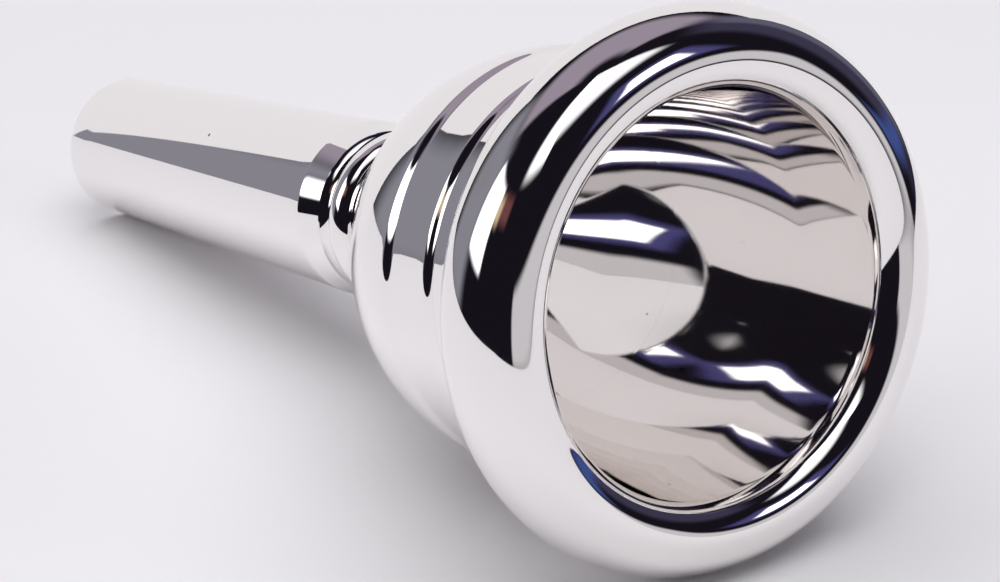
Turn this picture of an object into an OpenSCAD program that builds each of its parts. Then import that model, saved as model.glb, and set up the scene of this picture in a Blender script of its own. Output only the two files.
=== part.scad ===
// Large-bore cup mouthpiece in three screwed parts: rim, cup and tapered shank.
// Every part is turned about one axis, and the small end of the shank is the
// origin. Depths run back along the axis from the crest of the rim.

/* [Rim] */
// Outside diameter of the rim
rim_d = 45; // [44.5:0.5:46]
// Diameter across the inner edge of the rim, where the cup starts
bite_d = 32.2; // [31.8:0.1:32.4]
// Depth of that edge below the crest of the rim
bite_depth = 2.6; // [2.4:0.1:2.8]
// Radius of the rounded outside of the rim
rim_round = 5.3; // [5.1:0.1:5.5]
// Radius of the rounded face next to the crest
face_round = 3.5; // [3.2:0.1:3.8]

/* [Cup] */
// Overall length from the shank's small end to the crest of the rim
overall_l = 95.2; // [94.8:0.2:96]
// Slope of the upper cup wall, in degrees from the axis
wall_slope = 5.7; // [5.5:0.1:5.9]
// Depth at which the wall starts to curve in
knee_depth = 10; // [9.6:0.2:10.2]
// Radius of the curve below the upper wall
knee_round = 42.5; // [41.5:0.5:43]
// Slope of the funnel above the throat, in degrees from the axis
funnel_slope = 28.5; // [28.4:0.1:29]
// Radius that leads the funnel into the throat
throat_round = 23; // [21:1:24]
// Diameter of the throat
throat_d = 8.2; // [7.8:0.1:8.3]

/* [Bowl outside] */
// Outside diameter of the bowl at its lip
lip_d = 34.8; // [34.7:0.1:35]
// Outside diameter of the straight band above the lip
band_d = 34.2; // [34.1:0.1:34.4]
// Outside diameter of the waist under the rim
waist_d = 33.5; // [33.4:0.1:33.6]
// Radius of the curved outside of the bowl
bowl_round = 20; // [19.5:0.5:20.5]
// Slope of the lower bowl, in degrees from the axis
bowl_slope = 33; // [32.5:0.5:33.5]
// Diameter of the bead at the neck
bead_d = 15.3; // [15:0.1:15.4]
// Diameter of the neck on both sides of the bead
neck_d = 12.8; // [12.6:0.1:13]

/* [Shank] */
// Diameter of the shank at its small end
shank_d = 13.5; // [13.1:0.1:13.9]
// Length of the tapered shank
shank_l = 44.8; // [44:0.1:45]
// Growth of the shank's diameter for each millimetre of length
taper = 0.05; // [0.045:0.001:0.055]
// Diameter of the backbore at the small end
backbore_d = 10.8; // [10.2:0.1:11.2]

/* [Threads] */
// Pitch of both threads
pitch = 1; // [0.8:0.1:1]
// Turns of thread cut on the rim
rim_turns = 4; // [3:1:4]
// Turns of thread cut on the shank
shank_turns = 3; // [2:1:3]
// Radial clearance between threads
thread_gap = 0.1; // [0.06:0.01:0.12]

/* [View] */
// Part to show

/* [Hidden] */

fn_turned = 180;        // facets of the turned profiles
fn_rim = 60;            // sections in one turn of the rim thread
fn_shank = 36;          // sections in one turn of the shank thread
seat_gap = 0.03;        // air left between faces that screw together
ring_gap = 0.02;        // air left round each rubber ring
groove_room = 0.1;      // room along the axis beside each rubber ring

rim_r = rim_d / 2;
bite_r = bite_d / 2;
lip_r = lip_d / 2;
band_r = band_d / 2;
waist_r = waist_d / 2;
bead_r = bead_d / 2;
neck_r = neck_d / 2;
throat_r = throat_d / 2;
shank_r = shank_d / 2;
backbore_r = backbore_d / 2;

// screw joints, as depths below the crest
rim_joint = 15.8;       // the rim sits on the cup
rim_tip = 22.4;         // end of the rim's spigot
shank_tip = 40.6;       // end of the shank's spigot
neck_joint = 46.8;      // the cup sits on the shank
relief = 0.2;           // chamfer at the end of each spigot

// threads
tooth = 0.35;           // height of a thread
tooth_root = 0.8;       // width of a thread at its root, as a share of the pitch
tooth_tip = 0.15;       // width of a thread at its tip, as a share of the pitch
side_gap = 0.15;        // extra width of the matching groove
tip_gap = 0.05;         // extra height of the matching groove
sink = 0.1;             // how far a thread is sunk into its core
rim_core = 15.85;       // radius under the rim's thread
rim_foot = 19.9;        // depth where the rim's thread starts
rim_core_end = 20.6;    // depth where the rim's spigot steps in to its plain end
rim_bore_end = 21.2;    // depth where the threaded bore in the cup ends
rim_plain = 15.2;       // radius of the plain end of the rim's spigot
shank_core = 4.95;      // radius under the shank's thread
shank_foot = 44.6;      // depth where the shank's thread starts
shank_core_end = 45;    // depth where the shank's spigot steps out to its plain foot
shank_plain = 5.45;     // radius of the plain foot of the shank's spigot
plain_gap = 0.04;       // radial clearance of both plain fits

// rubber rings: radius to the middle of the cord, its depth, and the cord's radius
rim_ring = [14.9, 21.75, 0.3];
shank_ring = [5.12, 45.8, 0.33];

// cup interior: upper wall, knee, funnel, throat
knee_r = bite_r - (knee_depth - bite_depth) * tan(wall_slope);
knee_c = [knee_r - knee_round * cos(wall_slope), knee_depth - knee_round * sin(wall_slope)];
funnel_a = knee_c + knee_round * [cos(funnel_slope), sin(funnel_slope)];
funnel_b_r = throat_r + throat_round * (1 - cos(funnel_slope));
funnel_b = [funnel_b_r, funnel_a[1] + (funnel_a[0] - funnel_b_r) / tan(funnel_slope)];
throat_depth = funnel_b[1] + throat_round * sin(funnel_slope);

// rim: rounded outside, rounded face, part of an oval down to the inner edge
face_a = 40;            // angle at which the face round takes over
back_a = 60;            // angle at which the waist takes over
oval_a = 91;            // how far round the oval the inner edge lies
round_c = [rim_r - rim_round, face_round + (rim_round - face_round) * sin(face_a)];
face_c = [round_c[0] + (rim_round - face_round) * cos(face_a), face_round];
oval = [(face_c[0] - bite_r) / sin(oval_a), bite_depth / (1 - cos(oval_a))];
waist_round = (round_c[0] + rim_round * cos(back_a) - waist_r) / (1 - cos(back_a));
waist_c = round_c + (rim_round + waist_round) * [cos(back_a), sin(back_a)];

// band between its two steps
band_top = 16.8;
band_foot = 21;
lip_depth = 22.1;

// bowl outside: curve, straight slope, heel and neck
lip_slope = 4;          // slope of the bowl at its lip
heel_r = 8.3;           // radius at which the bowl turns in to the neck
heel_round = 1.5;
heel_slope = 62;
neck_round = 0.8;
bowl_c = [lip_r - bowl_round * cos(lip_slope), lip_depth - bowl_round * sin(lip_slope)];
bowl_end = bowl_c + bowl_round * [cos(bowl_slope), sin(bowl_slope)];
heel_c = [heel_r, bowl_end[1] + (bowl_end[0] - heel_r) / tan(bowl_slope)]
    - heel_round * [cos(bowl_slope), sin(bowl_slope)];
heel_end = heel_c + heel_round * [cos(heel_slope), sin(heel_slope)];
neck_in_r = neck_r + neck_round * (1 - cos(heel_slope));
neck_c = [neck_r + neck_round,
    heel_end[1] + (heel_end[0] - neck_in_r) / tan(heel_slope) + neck_round * sin(heel_slope)];

// bead at the neck
bead_depth = 45;
bead_half = 1.5;
bead_rise = bead_r - neck_r;
bead_round = (bead_half ^ 2 + bead_rise ^ 2) / (2 * bead_rise);
bead_a = asin(bead_half / bead_round);

// shank
shoulder_depth = overall_l - shank_l;
cove_depth = 46.9;      // depth where the cove starts at the neck
cone_depth = 48;        // depth of the edge between the cove and the short cone
cone_r = 7.15;          // radius of that edge
edge_round = 0.3;       // rounding of the edge between the cone and the taper
throat_end = 54;        // depth where the throat opens into the backbore
land_l = 3;             // straight land at the small end
corner = 0.4;           // rounding of the small end
shoulder_r = shank_r + (shank_l - land_l) * taper / 2;
cove_a = 2 * atan((cone_r - neck_r) / (cone_depth - cove_depth));
cove_round = (cone_depth - cove_depth) / sin(cove_a);
cone_a = atan((shoulder_r - cone_r) / (shoulder_depth - cone_depth));

// points of an arc about a [radius, depth] centre, from angle a to angle b
function arc(centre, size, a, b, steps) =
    [for (i = [0:steps]) let (t = a + (b - a) * i / steps) centre + size * [cos(t), sin(t)]];

// points of a smooth step between two [radius, depth] points
function smooth_step(from, to, steps) =
    [for (i = [0:steps]) let (s = i / steps)
        [from[0] + (to[0] - from[0]) * (1 - cos(180 * s)) / 2, from[1] + (to[1] - from[1]) * s]];

// radius of the cup interior at a depth
function inside(d) =
    d < knee_depth ? bite_r - (d - bite_depth) * tan(wall_slope) :
    d < funnel_a[1] ? knee_c[0] + sqrt(knee_round ^ 2 - (d - knee_c[1]) ^ 2) :
    d < funnel_b[1] ? funnel_a[0] - (d - funnel_a[1]) * tan(funnel_slope) :
    d < throat_depth ? throat_r + throat_round - sqrt(throat_round ^ 2 - (throat_depth - d) ^ 2) :
    throat_r;

// points of the cup interior between two depths
function inner_wall(from, to, steps) =
    [for (i = [0:steps]) let (d = from + (to - from) * i / steps) [inside(d), d]];

// a solid turned from a closed outline of [radius, depth] points
module turned(outline) {
    rotate([90, 0, 0])
        rotate_extrude($fn = fn_turned)
            polygon([for (p = outline) [p[0], overall_l - p[1]]]);
}

// a screw thread that climbs towards the rim from a depth
module thread(core, height, root_w, tip_w, foot, turns, per) {
    n = turns * per;
    lead_in = per / 6;
    sections = [for (i = [0:n]) each
        let (a = 360 * i / per, h = overall_l - foot + pitch * i / per,
             grow = max(0.02, min(1, i / lead_in, (n - i) / lead_in)),
             low = core - sink, high = core - sink + (height + sink) * grow)
        [[low * cos(a), low * sin(a), h - root_w / 2], [high * cos(a), high * sin(a), h - tip_w / 2],
         [high * cos(a), high * sin(a), h + tip_w / 2], [low * cos(a), low * sin(a), h + root_w / 2]]];
    sides = [for (i = [0:n - 1], k = [0:3]) let (a = 4 * i + k, b = 4 * i + (k + 1) % 4)
        each [[a, b, b + 4], [a, b + 4, a + 4]]];
    rotate([90, 0, 0])
        polyhedron(sections, concat([[3, 2, 1, 0]], sides, [[4 * n, 4 * n + 1, 4 * n + 2, 4 * n + 3]]));
}

module male_thread(core, foot, turns, per) {
    thread(core, tooth, tooth_root * pitch, tooth_tip * pitch, foot, turns, per);
}

module female_thread(core, foot, turns, per) {
    thread(core + thread_gap, tooth + tip_gap, tooth_root * pitch + side_gap,
           tooth_tip * pitch + side_gap, foot, turns, per);
}

// outline of a spigot's groove that holds a rubber ring
function groove(ring, plain) =
    let (bottom = ring[0] - ring[2] - ring_gap, half = ring[2] + groove_room)
    [[plain, ring[1] - half], [bottom, ring[1] - half], [bottom, ring[1] + half], [plain, ring[1] + half]];

// rim with its threaded spigot
module rim() {
    outside = concat(
        [[waist_r, rim_joint]],
        arc(waist_c, waist_round, 180, 180 + back_a, 14),
        arc(round_c, rim_round, back_a, -face_a, 24),
        arc(face_c, face_round, -face_a, -90, 10));
    face = [for (i = [1:16]) let (t = oval_a * i / 16)
        [face_c[0] - oval[0] * sin(t), oval[1] * (1 - cos(t))]];
    spigot = concat(
        [[rim_plain - relief, rim_tip], [rim_plain, rim_tip - relief]],
        [for (i = [3:-1:0]) groove(rim_ring, rim_plain)[i]],
        [[rim_plain, rim_core_end], [rim_core, rim_core_end], [rim_core, rim_joint]]);
    color([0.85, 0.83, 0.84])
        union() {
            turned(concat(outside, face, inner_wall(bite_depth + 1, rim_tip, 20), spigot));
            male_thread(rim_core, rim_foot, rim_turns, fn_rim);
        }
}

// rubber ring on the rim's spigot
module rim_o_ring() {
    color([0.08, 0.08, 0.09])
        rubber_ring(rim_ring);
}

module rubber_ring(ring) {
    translate([0, ring[1] - overall_l, 0])
        rotate([90, 0, 0])
            rotate_extrude($fn = fn_turned)
                translate([ring[0], 0])
                    circle(r = ring[2], $fn = 32);
}

// cup with its bowl, band and bead
module cup() {
    rim_bore = rim_core + thread_gap;
    rim_seat = rim_tip + seat_gap;
    shank_bore = shank_core + thread_gap;
    outside = concat(
        smooth_step([waist_r, rim_joint + seat_gap], [band_r, band_top], 10),
        smooth_step([band_r, band_foot], [lip_r, lip_depth], 10),
        arc(bowl_c, bowl_round, lip_slope, bowl_slope, 16),
        arc(heel_c, heel_round, bowl_slope, heel_slope, 5),
        arc(neck_c, neck_round, 180 + heel_slope, 180, 8),
        arc([bead_r - bead_round, bead_depth], bead_round, -bead_a, bead_a, 16),
        [[neck_r, neck_joint - seat_gap]]);
    shank_socket = [
        [shank_plain + plain_gap, neck_joint - seat_gap],
        [shank_plain + plain_gap, shank_core_end - relief],
        [shank_bore, shank_core_end - relief],
        [shank_bore, shank_tip - seat_gap]];
    rim_socket = [
        [rim_plain + plain_gap, rim_seat],
        [rim_plain + plain_gap, rim_bore_end],
        [rim_bore, rim_bore_end],
        [rim_bore, rim_joint + seat_gap]];
    color([0.85, 0.83, 0.84])
        difference() {
            turned(concat(outside, shank_socket, inner_wall(shank_tip - seat_gap, rim_seat, 30), rim_socket));
            female_thread(rim_core, rim_foot + pitch, rim_turns + 2.5, fn_rim);
            female_thread(shank_core, shank_foot + pitch, shank_turns + 1.25, fn_shank);
        }
}

// rubber ring on the shank's spigot
module shank_o_ring() {
    color([0.08, 0.08, 0.09])
        rubber_ring(shank_ring);
}

// shank with its threaded spigot, shoulder, taper and backbore
module shank() {
    spigot = concat(
        inner_wall(max(throat_depth, shank_tip + 0.1), shank_tip, 8),
        [[shank_core - relief, shank_tip], [shank_core, shank_tip + relief],
         [shank_core, shank_core_end], [shank_plain, shank_core_end]],
        groove(shank_ring, shank_plain),
        [[shank_plain, neck_joint], [neck_r, neck_joint]]);
    lean = atan(taper / 2);
    edge_half = (cone_a + lean) / 2;
    edge_c = [shoulder_r, shoulder_depth]
        - edge_round / cos(edge_half) * [cos(edge_half - cone_a), sin(edge_half - cone_a)];
    outside = concat(
        arc([neck_r + cove_round, cove_depth], cove_round, 180, 180 - cove_a, 8),
        arc(edge_c, edge_round, -cone_a, lean, 4),
        [[shank_r, overall_l - land_l]],
        arc([shank_r - corner, overall_l - corner], corner, 0, 90, 5));
    bore = [[backbore_r, overall_l], [throat_r, throat_end]];
    color([0.85, 0.83, 0.84])
        union() {
            turned(concat(spigot, outside, bore));
            male_thread(shank_core, shank_foot, shank_turns, fn_shank);
        }
}

rim();
rim_o_ring();
cup();
shank_o_ring();
shank();
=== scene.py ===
import bpy
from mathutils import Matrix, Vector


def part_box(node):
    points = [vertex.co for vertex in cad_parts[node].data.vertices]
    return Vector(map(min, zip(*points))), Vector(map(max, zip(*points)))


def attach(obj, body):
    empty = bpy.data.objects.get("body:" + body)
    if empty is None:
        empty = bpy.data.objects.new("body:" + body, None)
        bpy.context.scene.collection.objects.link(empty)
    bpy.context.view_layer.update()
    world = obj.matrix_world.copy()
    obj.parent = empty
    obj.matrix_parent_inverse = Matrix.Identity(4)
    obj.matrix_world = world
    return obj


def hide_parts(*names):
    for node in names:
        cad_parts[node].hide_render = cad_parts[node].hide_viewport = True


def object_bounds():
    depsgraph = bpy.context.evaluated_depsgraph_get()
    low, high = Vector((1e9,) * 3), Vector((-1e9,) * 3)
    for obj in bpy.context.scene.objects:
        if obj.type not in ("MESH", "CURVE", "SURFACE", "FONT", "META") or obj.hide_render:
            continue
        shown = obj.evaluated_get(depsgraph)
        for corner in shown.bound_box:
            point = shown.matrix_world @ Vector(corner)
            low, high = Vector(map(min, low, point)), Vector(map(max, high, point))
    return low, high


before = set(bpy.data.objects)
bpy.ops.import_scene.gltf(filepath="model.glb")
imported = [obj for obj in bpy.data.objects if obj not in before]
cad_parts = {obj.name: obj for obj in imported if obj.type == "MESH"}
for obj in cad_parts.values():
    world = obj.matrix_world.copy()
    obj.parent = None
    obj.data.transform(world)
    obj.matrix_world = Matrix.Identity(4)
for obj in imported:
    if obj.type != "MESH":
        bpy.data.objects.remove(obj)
import bpy
from math import radians, degrees, sin, cos, tan, acos, atan, sqrt, pi
from mathutils import Vector, Matrix

cadBox = [list(corner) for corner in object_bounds()]
mm = 0.001
wholeLength = -cadBox[0][1] / mm  # crest of the rim to the small end of the shank


def pickNothing():
    if bpy.context.object and bpy.context.object.mode != "OBJECT":
        bpy.ops.object.mode_set(mode="OBJECT")
    bpy.ops.object.select_all(action="DESELECT")


def pickOnly(piece):
    pickNothing()
    piece.select_set(True)
    bpy.context.view_layer.objects.active = piece


# outlines are lists of (radius, depth) in mm, with the depth counted from the crest of the rim
def arcPoints(centre, size, start, stop, steps):
    turns = [radians(start + (stop - start) * i / steps) for i in range(steps + 1)]
    return [(centre[0] + size * cos(t), centre[1] + size * sin(t)) for t in turns]


def straightPoints(a, b, steps):
    return [(a[0] + (b[0] - a[0]) * i / steps, a[1] + (b[1] - a[1]) * i / steps)
            for i in range(steps + 1)]


def stepPoints(a, b, steps):
    # a soft step: level at both ends, steepest in the middle
    return [(a[0] + (b[0] - a[0]) * (1 - cos(pi * i / steps)) / 2, a[1] + (b[1] - a[1]) * i / steps)
            for i in range(steps + 1)]


def drawChain(name, points):
    # a plane merged to one point, then extruded from point to point
    pickNothing()
    bpy.ops.mesh.primitive_plane_add(size=mm)
    piece = bpy.context.object
    piece.name = piece.data.name = name
    bpy.ops.object.mode_set(mode="EDIT")
    bpy.ops.mesh.select_all(action="SELECT")
    bpy.ops.mesh.merge(type="CENTER")
    places = [Vector((r, d - wholeLength, 0)) * mm for r, d in points]
    bpy.ops.transform.translate(value=places[0])
    for here, there in zip(places, places[1:]):
        bpy.ops.mesh.extrude_region_move(TRANSFORM_OT_translate={"value": there - here})
    bpy.ops.object.mode_set(mode="OBJECT")
    return piece


def turnOnLathe(name, outline, steps=240, sharpAngle=28):
    piece = drawChain(name, outline + outline[:1])
    bpy.ops.object.mode_set(mode="EDIT")
    bpy.ops.mesh.select_all(action="SELECT")
    bpy.ops.mesh.spin(steps=steps, angle=2 * pi, center=(0, 0, 0), axis=(0, 1, 0))
    bpy.ops.mesh.select_all(action="SELECT")
    bpy.ops.mesh.remove_doubles(threshold=0.002 * mm)
    bpy.ops.mesh.normals_make_consistent(inside=False)
    bpy.ops.object.mode_set(mode="OBJECT")
    bpy.ops.object.shade_smooth_by_angle(angle=radians(sharpAngle))
    return piece


threads = {
    "pitch": 1.0,
    "tooth": 0.35,      # height of a male thread
    "rootWidth": 0.8,
    "tipWidth": 0.15,
    "gap": 0.1,         # radial clearance between male and female
    "tipGap": 0.05,     # extra height of the matching groove
    "socketRoot": 0.85, "socketTip": 0.05,  # widths of the ridge left between two grooves
    "rimTurns": 4, "shankTurns": 3,         # the sockets have as many, and stop below their mouths
    "sink": 0.1,        # how far a thread is sunk into its wall
    "stepsATurn": 72,
    "leadIn": 30,       # degrees over which a thread rises at each end
}


def cutThread(name, wall, rise, rootWidth, tipWidth, foot, turns):
    # one tooth section, swept along the helix by a Screw modifier; rise is negative on an inside thread
    low = wall - threads["sink"] * (1 if rise > 0 else -1)
    section = [(low, foot + rootWidth / 2), (wall + rise, foot + tipWidth / 2),
               (wall + rise, foot - tipWidth / 2), (low, foot - rootWidth / 2)]
    piece = drawChain(name, section + section[:1])
    bpy.ops.object.mode_set(mode="EDIT")
    bpy.ops.mesh.select_all(action="SELECT")
    bpy.ops.mesh.remove_doubles(threshold=0.002 * mm)
    bpy.ops.object.mode_set(mode="OBJECT")
    sweep = piece.modifiers.new("helix", "SCREW")
    sweep.axis = "Y"
    sweep.angle = radians(-360 * turns)
    sweep.screw_offset = -threads["pitch"] * turns * mm
    sweep.steps = sweep.render_steps = int(threads["stepsATurn"] * turns)
    sweep.use_merge_vertices = False
    bpy.ops.object.modifier_apply(modifier="helix")
    # the tooth fades into the wall at both ends
    highest = threads["pitch"] * turns
    for vertex in piece.data.vertices:
        radius = sqrt(vertex.co.x ** 2 + vertex.co.z ** 2) / mm
        climbed = (foot - wholeLength) - vertex.co.y / mm
        fromEnd = min(climbed + rootWidth / 2, highest + rootWidth / 2 - climbed)
        share = min(1, max(0.02, fromEnd / (threads["pitch"] * threads["leadIn"] / 360 + rootWidth)))
        if abs(radius - low) > 0.01:
            wanted = low + (radius - low) * share
            vertex.co.x *= wanted / radius
            vertex.co.z *= wanted / radius
    bpy.ops.object.mode_set(mode="EDIT")
    bpy.ops.mesh.select_all(action="SELECT")
    bpy.ops.mesh.fill_holes(sides=8)
    bpy.ops.mesh.select_all(action="SELECT")
    bpy.ops.mesh.normals_make_consistent(inside=False)
    bpy.ops.object.mode_set(mode="OBJECT")
    bpy.ops.object.shade_smooth_by_angle(angle=radians(28))
    return piece


def joinTo(piece, extras):
    pickOnly(piece)
    for extra in extras:
        extra.select_set(True)
    bpy.ops.object.join()
    return piece


# the cup's inside wall runs through the rim, the cup and the shank
bore = {
    "edgeRadius": 16.1, "edgeDepth": 2.6,
    "wallSlope": 5.7, "kneeDepth": 10, "kneeRound": 42.5,
    "funnelSlope": 28.5, "throatRadius": 4.1, "throatRound": 23,
    "throatEnd": 54, "backboreRadius": 5.4,
}
kneeTop = bore["edgeRadius"] - (bore["kneeDepth"] - bore["edgeDepth"]) * tan(radians(bore["wallSlope"]))
kneeCentre = (kneeTop - bore["kneeRound"] * cos(radians(bore["wallSlope"])),
              bore["kneeDepth"] - bore["kneeRound"] * sin(radians(bore["wallSlope"])))
funnelTop = (kneeCentre[0] + bore["kneeRound"] * cos(radians(bore["funnelSlope"])),
             kneeCentre[1] + bore["kneeRound"] * sin(radians(bore["funnelSlope"])))
funnelFootRadius = bore["throatRadius"] + bore["throatRound"] * (1 - cos(radians(bore["funnelSlope"])))
funnelFoot = funnelTop[1] + (funnelTop[0] - funnelFootRadius) / tan(radians(bore["funnelSlope"]))
throatDepth = funnelFoot + bore["throatRound"] * sin(radians(bore["funnelSlope"]))


def boreRadius(depth):
    if depth < bore["kneeDepth"]:
        return bore["edgeRadius"] - (depth - bore["edgeDepth"]) * tan(radians(bore["wallSlope"]))
    if depth < funnelTop[1]:
        return kneeCentre[0] + sqrt(bore["kneeRound"] ** 2 - (depth - kneeCentre[1]) ** 2)
    if depth < funnelFoot:
        return funnelTop[0] - (depth - funnelTop[1]) * tan(radians(bore["funnelSlope"]))
    if depth < throatDepth:
        return (bore["throatRadius"] + bore["throatRound"]
                - sqrt(bore["throatRound"] ** 2 - (throatDepth - depth) ** 2))
    return bore["throatRadius"]


def borePoints(start, stop, steps):
    depths = [start + (stop - start) * i / steps for i in range(steps + 1)]
    return [(boreRadius(d), d) for d in depths]


def spigotGroove(plainRadius, ring):
    # a rectangular groove round a rubber ring, given as (radius to the cord's middle, depth, cord radius)
    bottom, half = ring[0] - ring[2] - joints["ringGap"], ring[2] + joints["grooveRoom"]
    return [(plainRadius, ring[1] - half), (bottom, ring[1] - half),
            (bottom, ring[1] + half), (plainRadius, ring[1] + half)]


# where the three turned parts meet, as depths
joints = {
    "rimSeat": 15.8, "rimTip": 22.4, "shankTip": 40.6, "neckSeat": 46.8,
    "seatGap": 0.006, "relief": 0.2, "ringGap": 0.02, "grooveRoom": 0.1,
    "rimRing": (14.9, 21.75, 0.3), "shankRing": (5.12, 45.8, 0.33),
    "rimCore": 15.85, "rimFoot": 19.9, "rimCoreEnd": 20.6, "rimPlain": 15.2,
    "shankCore": 4.95, "shankFoot": 44.6, "shankCoreEnd": 45, "shankPlain": 5.45,
    "rimBoreEnd": 21.2, "plainGap": 0.04,
}

rimShape = {
    "outerRadius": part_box("rim")[1].x / mm,
    "outerRound": 5.3, "faceRound": 3.5, "faceAngle": 40,
    "backAngle": 60, "waistRadius": 16.75, "ovalAngle": 91,
}


def makeRim():
    s = rimShape
    faceTurn, backTurn = radians(s["faceAngle"]), radians(s["backAngle"])
    outer = (s["outerRadius"] - s["outerRound"],
             s["faceRound"] + (s["outerRound"] - s["faceRound"]) * sin(faceTurn))
    face = (outer[0] + (s["outerRound"] - s["faceRound"]) * cos(faceTurn), s["faceRound"])
    waistRound = (outer[0] + s["outerRound"] * cos(backTurn) - s["waistRadius"]) / (1 - cos(backTurn))
    waist = (outer[0] + (s["outerRound"] + waistRound) * cos(backTurn),
             outer[1] + (s["outerRound"] + waistRound) * sin(backTurn))
    across = (face[0] - bore["edgeRadius"]) / sin(radians(s["ovalAngle"]))
    down = bore["edgeDepth"] / (1 - cos(radians(s["ovalAngle"])))
    oval = [(face[0] - across * sin(radians(s["ovalAngle"] * i / 36)),
             down * (1 - cos(radians(s["ovalAngle"] * i / 36)))) for i in range(1, 37)]
    ring = joints["rimRing"]
    outline = (
        straightPoints((s["waistRadius"], joints["rimSeat"]), (s["waistRadius"], waist[1]), 4)[:-1]
        + arcPoints(waist, waistRound, 180, 180 + s["backAngle"], 26)[:-1]
        + arcPoints(outer, s["outerRound"], s["backAngle"], -s["faceAngle"], 52)[:-1]
        + arcPoints(face, s["faceRound"], -s["faceAngle"], -90, 20)
        + oval
        + borePoints(bore["edgeDepth"] + 0.3, joints["rimTip"], 60)
        + [(joints["rimPlain"] - joints["relief"], joints["rimTip"]),
           (joints["rimPlain"], joints["rimTip"] - joints["relief"])]
        + spigotGroove(joints["rimPlain"], ring)[::-1]
        + [(joints["rimPlain"], joints["rimCoreEnd"]), (joints["rimCore"], joints["rimCoreEnd"]),
           (joints["rimCore"], joints["rimSeat"])]
    )
    piece = turnOnLathe("rimTurned", outline)
    thread = cutThread("rimThread", joints["rimCore"], threads["tooth"], threads["rootWidth"],
                       threads["tipWidth"], joints["rimFoot"], threads["rimTurns"])
    return joinTo(piece, [thread])


cupShape = {
    "waistRadius": 16.75, "bandRadius": 17.1, "lipRadius": 17.4,
    "bandTop": 16.8, "bandFoot": 21, "lipDepth": 22.1,
    "bowlRound": 20, "lipSlope": 4, "bowlSlope": 33,
    "heelRadius": 8.3, "heelRound": 1.5, "heelSlope": 62,
    "neckRadius": 6.4, "neckRound": 0.8,
    "beadRadius": 7.65, "beadDepth": 45, "beadHalf": 1.5,
}


def makeCup():
    s = cupShape
    bowl = (s["lipRadius"] - s["bowlRound"] * cos(radians(s["lipSlope"])),
            s["lipDepth"] - s["bowlRound"] * sin(radians(s["lipSlope"])))
    bowlEnd = (bowl[0] + s["bowlRound"] * cos(radians(s["bowlSlope"])),
               bowl[1] + s["bowlRound"] * sin(radians(s["bowlSlope"])))
    heel = (s["heelRadius"] - s["heelRound"] * cos(radians(s["bowlSlope"])),
            bowlEnd[1] + (bowlEnd[0] - s["heelRadius"]) / tan(radians(s["bowlSlope"]))
            - s["heelRound"] * sin(radians(s["bowlSlope"])))
    heelEnd = (heel[0] + s["heelRound"] * cos(radians(s["heelSlope"])),
               heel[1] + s["heelRound"] * sin(radians(s["heelSlope"])))
    neckTop = s["neckRadius"] + s["neckRound"] * (1 - cos(radians(s["heelSlope"])))
    neck = (s["neckRadius"] + s["neckRound"],
            heelEnd[1] + (heelEnd[0] - neckTop) / tan(radians(s["heelSlope"]))
            + s["neckRound"] * sin(radians(s["heelSlope"])))
    rise = s["beadRadius"] - s["neckRadius"]
    beadRound = (s["beadHalf"] ** 2 + rise ** 2) / (2 * rise)
    beadTurn = degrees(acos((beadRound - rise) / beadRound))  # from the bead's crest to the neck
    j, gap = joints, joints["seatGap"]
    depth = threads["tooth"] + threads["tipGap"]  # of the socket threads
    rimMajor = j["rimCore"] + threads["gap"] + depth
    shankMajor = j["shankCore"] + threads["gap"] + depth
    heelTop = (s["heelRadius"], heel[1] + s["heelRound"] * sin(radians(s["bowlSlope"])))
    outline = (
        stepPoints((s["waistRadius"], j["rimSeat"] + gap), (s["bandRadius"], s["bandTop"]), 24)
        + straightPoints((s["bandRadius"], s["bandTop"]), (s["bandRadius"], s["bandFoot"]), 4)[1:-1]
        + stepPoints((s["bandRadius"], s["bandFoot"]), (s["lipRadius"], s["lipDepth"]), 24)[:-1]
        + arcPoints(bowl, s["bowlRound"], s["lipSlope"], s["bowlSlope"], 32)
        + straightPoints(bowlEnd, heelTop, 8)[1:-1]
        + arcPoints(heel, s["heelRound"], s["bowlSlope"], s["heelSlope"], 10)
        + arcPoints(neck, s["neckRound"], 180 + s["heelSlope"], 180, 14)
        + arcPoints((s["beadRadius"] - beadRound, s["beadDepth"]), beadRound, -beadTurn, beadTurn, 30)
        + [(s["neckRadius"], j["neckSeat"] - gap),
           (j["shankPlain"] + j["plainGap"], j["neckSeat"] - gap),
           (j["shankPlain"] + j["plainGap"], j["shankCoreEnd"] - j["relief"]),
           (shankMajor, j["shankCoreEnd"] - j["relief"]),
           (shankMajor, j["shankTip"] - gap)]
        + borePoints(j["shankTip"] - gap, j["rimTip"] + gap, 90)
        + [(j["rimPlain"] + j["plainGap"], j["rimTip"] + gap),
           (j["rimPlain"] + j["plainGap"], j["rimBoreEnd"]),
           (rimMajor, j["rimBoreEnd"]), (rimMajor, j["rimSeat"] + gap)]
    )
    piece = turnOnLathe("cupTurned", outline)
    half = threads["pitch"] / 2
    rimThread = cutThread("rimSocketThread", rimMajor, -depth, threads["socketRoot"],
                          threads["socketTip"], j["rimFoot"] + half, threads["rimTurns"])
    shankThread = cutThread("shankSocketThread", shankMajor, -depth, threads["socketRoot"],
                            threads["socketTip"], j["shankFoot"] - half, threads["shankTurns"])
    return joinTo(piece, [rimThread, shankThread])


shankShape = {
    "tipRadius": 6.75, "length": 44.8, "taper": 0.05, "landLength": 3, "tipRound": 0.4,
    "neckRadius": 6.4, "coveDepth": 46.9, "coneDepth": 48, "coneRadius": 7.15, "edgeRound": 0.3,
}


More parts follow.
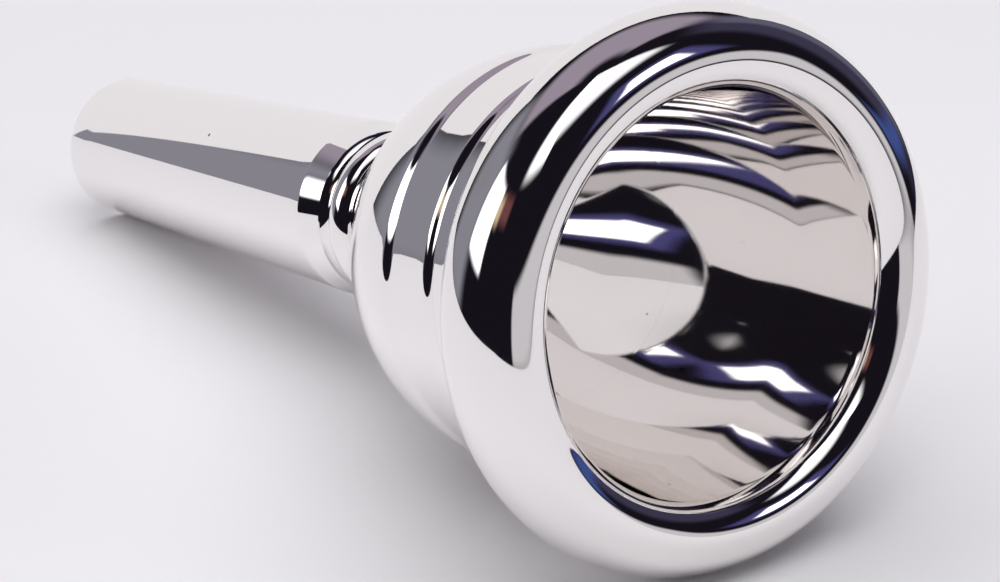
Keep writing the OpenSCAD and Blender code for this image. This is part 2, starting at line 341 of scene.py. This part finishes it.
def makeShank():
    s, j = shankShape, joints
    shoulderRadius = s["tipRadius"] + (s["length"] - s["landLength"]) * s["taper"] / 2
    shoulderDepth = wholeLength - s["length"]
    coveLength = s["coneDepth"] - s["coveDepth"]
    coveTurn = 2 * atan((s["coneRadius"] - s["neckRadius"]) / coveLength)
    coveRound = coveLength / sin(coveTurn)
    coneTurn = atan((shoulderRadius - s["coneRadius"]) / (shoulderDepth - s["coneDepth"]))
    lean = atan(s["taper"] / 2)
    half = (coneTurn + lean) / 2
    reach = s["edgeRound"] / cos(half)
    edge = (shoulderRadius - reach * cos(half - coneTurn), shoulderDepth - reach * sin(half - coneTurn))
    tip = (s["tipRadius"] - s["tipRound"], wholeLength - s["tipRound"])
    outline = (
        borePoints(throatDepth, j["shankTip"], 16)
        + [(j["shankCore"] - j["relief"], j["shankTip"]), (j["shankCore"], j["shankTip"] + j["relief"]),
           (j["shankCore"], j["shankCoreEnd"]), (j["shankPlain"], j["shankCoreEnd"])]
        + spigotGroove(j["shankPlain"], j["shankRing"])
        + [(j["shankPlain"], j["neckSeat"]), (s["neckRadius"], j["neckSeat"])]
        + arcPoints((s["neckRadius"] + coveRound, s["coveDepth"]), coveRound,
                    180, 180 - degrees(coveTurn), 20)
        + straightPoints((s["coneRadius"], s["coneDepth"]), (shoulderRadius, shoulderDepth), 8)[1:-1]
        + arcPoints(edge, s["edgeRound"], -degrees(coneTurn), degrees(lean), 6)
        + straightPoints((shoulderRadius, shoulderDepth),
                         (s["tipRadius"], wholeLength - s["landLength"]), 30)[1:]
        + arcPoints(tip, s["tipRound"], 0, 90, 10)
        + straightPoints((bore["backboreRadius"], wholeLength), (bore["throatRadius"], bore["throatEnd"]), 24)
        + straightPoints((bore["throatRadius"], bore["throatEnd"]),
                         (bore["throatRadius"], throatDepth), 8)[1:-1]
    )
    piece = turnOnLathe("shankTurned", outline)
    thread = cutThread("shankThread", j["shankCore"], threads["tooth"], threads["rootWidth"],
                       threads["tipWidth"], j["shankFoot"], threads["shankTurns"])
    return joinTo(piece, [thread])


ringShape = {"partingLine": 0.008, "steps": 120}


def makeRubberRing(name, ring):
    # a round cord with the fine parting line that its mould leaves
    section = arcPoints((ring[0], ring[1]), ring[2], 0, 351, 39)
    section[0] = (section[0][0] + ringShape["partingLine"], section[0][1])
    section[20] = (section[20][0] - ringShape["partingLine"], section[20][1])
    return turnOnLathe(name, section, ringShape["steps"], 60)


rimPiece = makeRim()
cupPiece = makeCup()
shankPiece = makeShank()
rimRingPiece = makeRubberRing("rimRubberRing", joints["rimRing"])
shankRingPiece = makeRubberRing("shankRubberRing", joints["shankRing"])
print("turned", [(p.name, len(p.data.polygons)) for p in (rimPiece, cupPiece, shankPiece, rimRingPiece)])


def newMaterial(name):
    material = bpy.data.materials.new(name)
    material.use_nodes = True
    nodes, links = material.node_tree.nodes, material.node_tree.links
    shader = nodes["Principled BSDF"]
    return material, nodes, links, shader


def addNode(nodes, kind, settings=None, values=None):
    node = nodes.new(kind)
    for key, value in (settings or {}).items():
        setattr(node, key, value)
    for key, value in (values or {}).items():
        node.inputs[key].default_value = value
    return node


silverLook = {
    "colour": (0.915, 0.895, 0.88, 1),
    "tarnish": (0.66, 0.52, 0.33, 1),
    "tarnishScale": 95, "tarnishFrom": 0.66, "tarnishTo": 0.9, "tarnishMost": 0.35,
    "roughness": (0.02, 0.05),
    "smudgeScale": 140,
    "scratchScale": 900, "scratchStretch": (1, 14, 1), "scratchDepth": 0.02,
    "pit": (0.22, 0.16, 0.12, 1), "pitScale": 260, "pitSize": 0.06,
    "pitGroupScale": 160, "pitGroupFrom": 0.62, "pitGroupTo": 0.66,  # pits sit in a few groups
}


def silverPlate(name):
    look = silverLook
    material, nodes, links, shader = newMaterial(name)
    place = addNode(nodes, "ShaderNodeTexCoord")
    # faint brown patches where the plate has dulled
    patches = addNode(nodes, "ShaderNodeTexNoise", None,
                      {"Scale": look["tarnishScale"], "Detail": 4, "Roughness": 0.6})
    patchRange = addNode(nodes, "ShaderNodeMapRange", {"interpolation_type": "SMOOTHSTEP"},
                         {"From Min": look["tarnishFrom"], "From Max": look["tarnishTo"],
                          "To Min": 0, "To Max": look["tarnishMost"]})
    plate = addNode(nodes, "ShaderNodeMix", {"data_type": "RGBA"})
    plate.inputs[6].default_value = look["colour"]
    plate.inputs[7].default_value = look["tarnish"]
    links.new(place.outputs["Object"], patches.inputs["Vector"])
    links.new(patches.outputs["Fac"], patchRange.inputs["Value"])
    links.new(patchRange.outputs["Result"], plate.inputs[0])
    # tiny dark pits
    pits = addNode(nodes, "ShaderNodeTexVoronoi", {"feature": "F1"},
                   {"Scale": look["pitScale"], "Randomness": 1})
    pitMask = addNode(nodes, "ShaderNodeMapRange", {"interpolation_type": "SMOOTHSTEP"},
                      {"From Min": look["pitSize"] * 0.6, "From Max": look["pitSize"],
                       "To Min": 1, "To Max": 0})
    links.new(place.outputs["Object"], pits.inputs["Vector"])
    links.new(pits.outputs["Distance"], pitMask.inputs["Value"])
    rare = addNode(nodes, "ShaderNodeTexNoise", None, {"Scale": look["pitGroupScale"], "Detail": 1})
    rareMask = addNode(nodes, "ShaderNodeMapRange", None,
                       {"From Min": look["pitGroupFrom"], "From Max": look["pitGroupTo"],
                        "To Min": 0, "To Max": 1})
    links.new(place.outputs["Object"], rare.inputs["Vector"])
    links.new(rare.outputs["Fac"], rareMask.inputs["Value"])
    pitShare = addNode(nodes, "ShaderNodeMath", {"operation": "MULTIPLY"})
    links.new(pitMask.outputs["Result"], pitShare.inputs[0])
    links.new(rareMask.outputs["Result"], pitShare.inputs[1])
    pitted = addNode(nodes, "ShaderNodeMix", {"data_type": "RGBA"})
    pitted.inputs[7].default_value = look["pit"]
    links.new(pitShare.outputs[0], pitted.inputs[0])
    links.new(plate.outputs[2], pitted.inputs[6])
    links.new(pitted.outputs[2], shader.inputs["Base Color"])
    # polish: smudges in the gloss and very fine scratches
    smudge = addNode(nodes, "ShaderNodeTexNoise", None,
                     {"Scale": look["smudgeScale"], "Detail": 6, "Roughness": 0.65})
    gloss = addNode(nodes, "ShaderNodeMapRange", None,
                    {"From Min": 0.3, "From Max": 0.8,
                     "To Min": look["roughness"][0], "To Max": look["roughness"][1]})
    links.new(place.outputs["Object"], smudge.inputs["Vector"])
    links.new(smudge.outputs["Fac"], gloss.inputs["Value"])
    links.new(gloss.outputs["Result"], shader.inputs["Roughness"])
    stretched = addNode(nodes, "ShaderNodeMapping", None, {"Scale": look["scratchStretch"]})
    scratches = addNode(nodes, "ShaderNodeTexNoise", None,
                        {"Scale": look["scratchScale"], "Detail": 3, "Roughness": 0.5})
    links.new(place.outputs["Object"], stretched.inputs["Vector"])
    links.new(stretched.outputs["Vector"], scratches.inputs["Vector"])
    height = addNode(nodes, "ShaderNodeMath", {"operation": "MULTIPLY_ADD"})
    height.inputs[1].default_value = -1.0
    links.new(pitShare.outputs[0], height.inputs[0])
    links.new(scratches.outputs["Fac"], height.inputs[2])
    bump = addNode(nodes, "ShaderNodeBump", None, {"Strength": look["scratchDepth"], "Distance": 0.02 * mm})
    links.new(height.outputs[0], bump.inputs["Height"])
    links.new(bump.outputs["Normal"], shader.inputs["Normal"])
    shader.inputs["Metallic"].default_value = 1
    return material


rubberLook = {"colour": (0.012, 0.012, 0.014, 1), "worn": (0.05, 0.05, 0.052, 1), "scale": 420}


def ringRubber():
    material, nodes, links, shader = newMaterial("ringRubber")
    place = addNode(nodes, "ShaderNodeTexCoord")
    bloom = addNode(nodes, "ShaderNodeTexNoise", None, {"Scale": rubberLook["scale"], "Detail": 5})
    mixed = addNode(nodes, "ShaderNodeMix", {"data_type": "RGBA"})
    mixed.inputs[6].default_value = rubberLook["colour"]
    mixed.inputs[7].default_value = rubberLook["worn"]
    links.new(place.outputs["Object"], bloom.inputs["Vector"])
    links.new(bloom.outputs["Fac"], mixed.inputs[0])
    links.new(mixed.outputs[2], shader.inputs["Base Color"])
    grip = addNode(nodes, "ShaderNodeMapRange", None, {"To Min": 0.45, "To Max": 0.7})
    links.new(bloom.outputs["Fac"], grip.inputs["Value"])
    links.new(grip.outputs["Result"], shader.inputs["Roughness"])
    bump = addNode(nodes, "ShaderNodeBump", None, {"Strength": 0.3, "Distance": 0.01 * mm})
    links.new(bloom.outputs["Fac"], bump.inputs["Height"])
    links.new(bump.outputs["Normal"], shader.inputs["Normal"])
    return material


def dress(piece, material):
    piece.data.materials.clear()
    piece.data.materials.append(material)


rubber = ringRubber()
for piece, node, slotName, material in (
    (rimPiece, "rim", "rim_metal", silverPlate("rimSilver")),
    (cupPiece, "cup", "cup_metal", silverPlate("cupSilver")),
    (shankPiece, "shank", "shank_metal", silverPlate("shankSilver")),
    (rimRingPiece, "rim_o_ring", "ring_rubber", rubber),
    (shankRingPiece, "shank_o_ring", "ring_rubber", rubber),
):
    dress(piece, material)
    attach(piece, node)
    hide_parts(node)
print("finished and dressed")


# the mouthpiece lies on its rim and the end of its shank, so the floor leans 10 degrees to its axis
room = {
    "floorLean": 9.96, "floorDrop": 6.6 * mm, "facing": 33.63,
    "sheetRadius": 0.22, "floorRadius": 4.0, "overlap": 0.01, "step": 0.02 * mm,
    "paper": (0.93, 0.92, 0.935, 1),
    "keyWatts": 6.0, "keySize": 1.3, "keyHeight": 0.8,
}
floorUp = Vector((0, -sin(radians(room["floorLean"])), cos(radians(room["floorLean"]))))
ahead = Vector((sin(radians(room["facing"])), cos(radians(room["facing"])), 0))
ahead = (ahead - ahead.dot(floorUp) * floorUp).normalized()
toRight = ahead.cross(floorUp)
roomTurn = Matrix((toRight, ahead, floorUp)).transposed().to_4x4()  # room x right, y ahead, z up
middle = Vector((0, -wholeLength * mm / 2, 0))
middle = middle - floorUp * (middle.dot(floorUp) + room["floorDrop"])  # on the floor, under the object


def inRoom(right, forward, up):
    return middle + toRight * right + ahead * forward + floorUp * up


def pointAt(thing, target, location):
    thing.location = location
    thing.rotation_mode = "QUATERNION"
    thing.rotation_quaternion = (target - location).to_track_quat("-Z", "Y")


def paperMaterial():
    material, nodes, links, shader = newMaterial("paper")
    place = addNode(nodes, "ShaderNodeTexCoord")
    grain = addNode(nodes, "ShaderNodeTexNoise", None, {"Scale": 700, "Detail": 3})
    bump = addNode(nodes, "ShaderNodeBump", None, {"Strength": 0.05, "Distance": 0.02 * mm})
    links.new(place.outputs["Object"], grain.inputs["Vector"])
    links.new(grain.outputs["Fac"], bump.inputs["Height"])
    links.new(bump.outputs["Normal"], shader.inputs["Normal"])
    shader.inputs["Base Color"].default_value = room["paper"]
    shader.inputs["Roughness"].default_value = 0.9
    shader.inputs["Specular IOR Level"].default_value = 0.1
    return material


paper = paperMaterial()


def makeFloor(name, innerRadius, outerRadius, lower=0):
    pickNothing()
    bpy.ops.mesh.primitive_circle_add(vertices=128, radius=outerRadius, fill_type="NGON")
    sheet = bpy.context.object
    sheet.name = name
    if innerRadius:
        bpy.ops.object.mode_set(mode="EDIT")
        bpy.ops.mesh.select_all(action="SELECT")
        bpy.ops.mesh.inset(thickness=outerRadius - innerRadius)
        bpy.ops.mesh.delete(type="FACE")
        bpy.ops.object.mode_set(mode="OBJECT")
    sheet.data.transform(Matrix.Translation(middle - floorUp * lower) @ roomTurn)
    dress(sheet, paper)
    return sheet


makeFloor("floorSheet", 0, room["sheetRadius"])
farFloor = makeFloor("floorBeyond", room["sheetRadius"] - room["overlap"],
                     room["floorRadius"], room["step"])
farFloor.visible_glossy = False  # the polish mirrors the darker room past the sheet

keyData = bpy.data.lights.new("overheadSoftbox", "AREA")
keyData.shape = "DISK"
keyData.size = room["keySize"]
keyData.energy = room["keyWatts"]
key = bpy.data.objects.new("overheadSoftbox", keyData)
bpy.context.collection.objects.link(key)
pointAt(key, middle, inRoom(0, 0, room["keyHeight"]))
key.visible_glossy = False

# a pale card stands close behind the mouthpiece and is seen only in the polish
card = {"left": -0.078, "right": 0.102, "forward": 0.065, "top": 0.12,  # metres
        "colour": (0.84, 0.82, 0.85, 1)}


def makeCard():
    pickNothing()
    bpy.ops.mesh.primitive_plane_add(size=1)
    sheet = bpy.context.object
    sheet.name = "backdropCard"
    wide, tall = card["right"] - card["left"], card["top"]
    across = Matrix((toRight * wide, floorUp * tall, -ahead)).transposed().to_4x4()
    centre = inRoom((card["left"] + card["right"]) / 2, card["forward"], tall / 2)
    sheet.data.transform(Matrix.Translation(centre) @ across)
    material, nodes, links, shader = newMaterial("cardGlow")
    glow = addNode(nodes, "ShaderNodeEmission", None, {"Color": card["colour"], "Strength": 1})
    links.new(glow.outputs["Emission"], nodes["Material Output"].inputs["Surface"])
    dress(sheet, material)
    sheet.visible_camera = sheet.visible_diffuse = sheet.visible_shadow = False


makeCard()
print("room is set")


# what the polish mirrors: patches by direction, as (centre azimuth, centre height, half width,
# half height, softness, colour, strength), with azimuth 0 straight ahead and + to the right, in degrees
roomBase = (0.008, 0.0065, 0.011, 1)
roomPatches = [
    (-14, 60, 58, 17, 5, (0.33, 0.28, 0.35, 1)),      # upper wall, grey purple
    (58, 24, 20, 30, 8, (0.045, 0.04, 0.075, 1)),     # right wall, dull purple
    (44, 20, 8, 26, 5, (0.11, 0.11, 0.16, 1)),        # edge beside the pale backdrop
    (75, -1, 19, 2.5, 2, (0.05, 0.08, 0.26, 1)),      # blue strip low on the right
    (-66, 16, 21, 26, 8, (0.25, 0.245, 0.29, 1)),     # grey between the window and the backdrop
    (-132, 36, 10, 4.5, 3, (0.16, 0.06, 0.06, 1)),    # red brown patch
    (-119, 34, 6, 4.5, 3, (0.62, 0.48, 0.30, 1)),     # curtain at the window's edge
    (-101, 26, 15, 14, 2.5, (2.6, 2.6, 2.7, 1)),      # window on the left
    (116, 29, 13, 11, 3, (0.07, 0.065, 0.2, 1)),      # blue edge of the second window
    (116, 29, 7, 7, 1.5, (2.6, 2.6, 2.7, 1)),         # second window, behind on the right
    (133, 0, 34, 8, 2.5, (0.6, 0.58, 0.61, 1)),       # pale low furniture behind on the right
    (-165, 70, 20, 22, 5, (1.5, 1.5, 1.55, 1)),       # skylight behind
    (140, 74, 45, 17, 5, (1.1, 1.1, 1.15, 1)),        # skylight behind on the right
]


def buildWorld():
    world = bpy.data.worlds.new("room")
    bpy.context.scene.world = world
    world.use_nodes = True
    nodes, links = world.node_tree.nodes, world.node_tree.links
    background = nodes["Background"]
    place = addNode(nodes, "ShaderNodeTexCoord")

    def calc(operation, first, second=None):
        node = addNode(nodes, "ShaderNodeMath", {"operation": operation})
        for i, value in enumerate((first, second)):
            if value is None:
                continue
            if isinstance(value, (int, float)):
                node.inputs[i].default_value = value
            else:
                links.new(value, node.inputs[i])
        return node.outputs[0]

    def along(direction):
        node = addNode(nodes, "ShaderNodeVectorMath", {"operation": "DOT_PRODUCT"})
        node.inputs[1].default_value = direction
        links.new(place.outputs["Generated"], node.inputs[0])
        return node.outputs["Value"]

    azimuth = calc("MULTIPLY", calc("ARCTAN2", along(toRight), along(ahead)), 180 / pi)
    height = calc("MULTIPLY", calc("ARCSINE", along(floorUp)), 180 / pi)

    def window(value, centre, half, soft):
        off = calc("ABSOLUTE", calc("SUBTRACT", value, centre))
        edge = addNode(nodes, "ShaderNodeMapRange", {"interpolation_type": "SMOOTHSTEP"},
                       {"From Min": half - soft, "From Max": half + soft, "To Min": 1, "To Max": 0})
        links.new(off, edge.inputs["Value"])
        return edge.outputs["Result"]

    colour = None
    for azimuthAt, heightAt, halfWidth, halfHeight, soft, tint in roomPatches:
        layer = addNode(nodes, "ShaderNodeMix", {"data_type": "RGBA"})
        layer.inputs[6].default_value = roomBase
        layer.inputs[7].default_value = tint
        if colour:
            links.new(colour, layer.inputs[6])
        share = calc("MULTIPLY", window(azimuth, azimuthAt, halfWidth, soft),
                     window(height, heightAt, halfHeight, soft))
        links.new(share, layer.inputs[0])
        colour = layer.outputs[2]
    links.new(colour, background.inputs["Color"])


buildWorld()

camera = {"at": (-0.14239, -0.27781, 0.06632), "look": (0.53394, 0.80275, -0.26551), "lens": 113.98}
cameraData = bpy.data.cameras.new("camera")
cameraData.lens = camera["lens"]
cameraData.sensor_width = 36
cameraData.clip_start, cameraData.clip_end = 0.01, 20
cameraObject = bpy.data.objects.new("camera", cameraData)
bpy.context.collection.objects.link(cameraObject)
look = Vector(camera["look"]).normalized()
sideways = look.cross(floorUp).normalized()
turn = Matrix((sideways, sideways.cross(look), -look)).transposed().to_4x4()
cameraObject.matrix_world = Matrix.Translation(camera["at"]) @ turn
scene = bpy.context.scene
scene.camera = cameraObject
scene.view_settings.view_transform = "Standard"
scene.cycles.max_bounces = 16
scene.cycles.glossy_bounces = 12
print("camera is set")
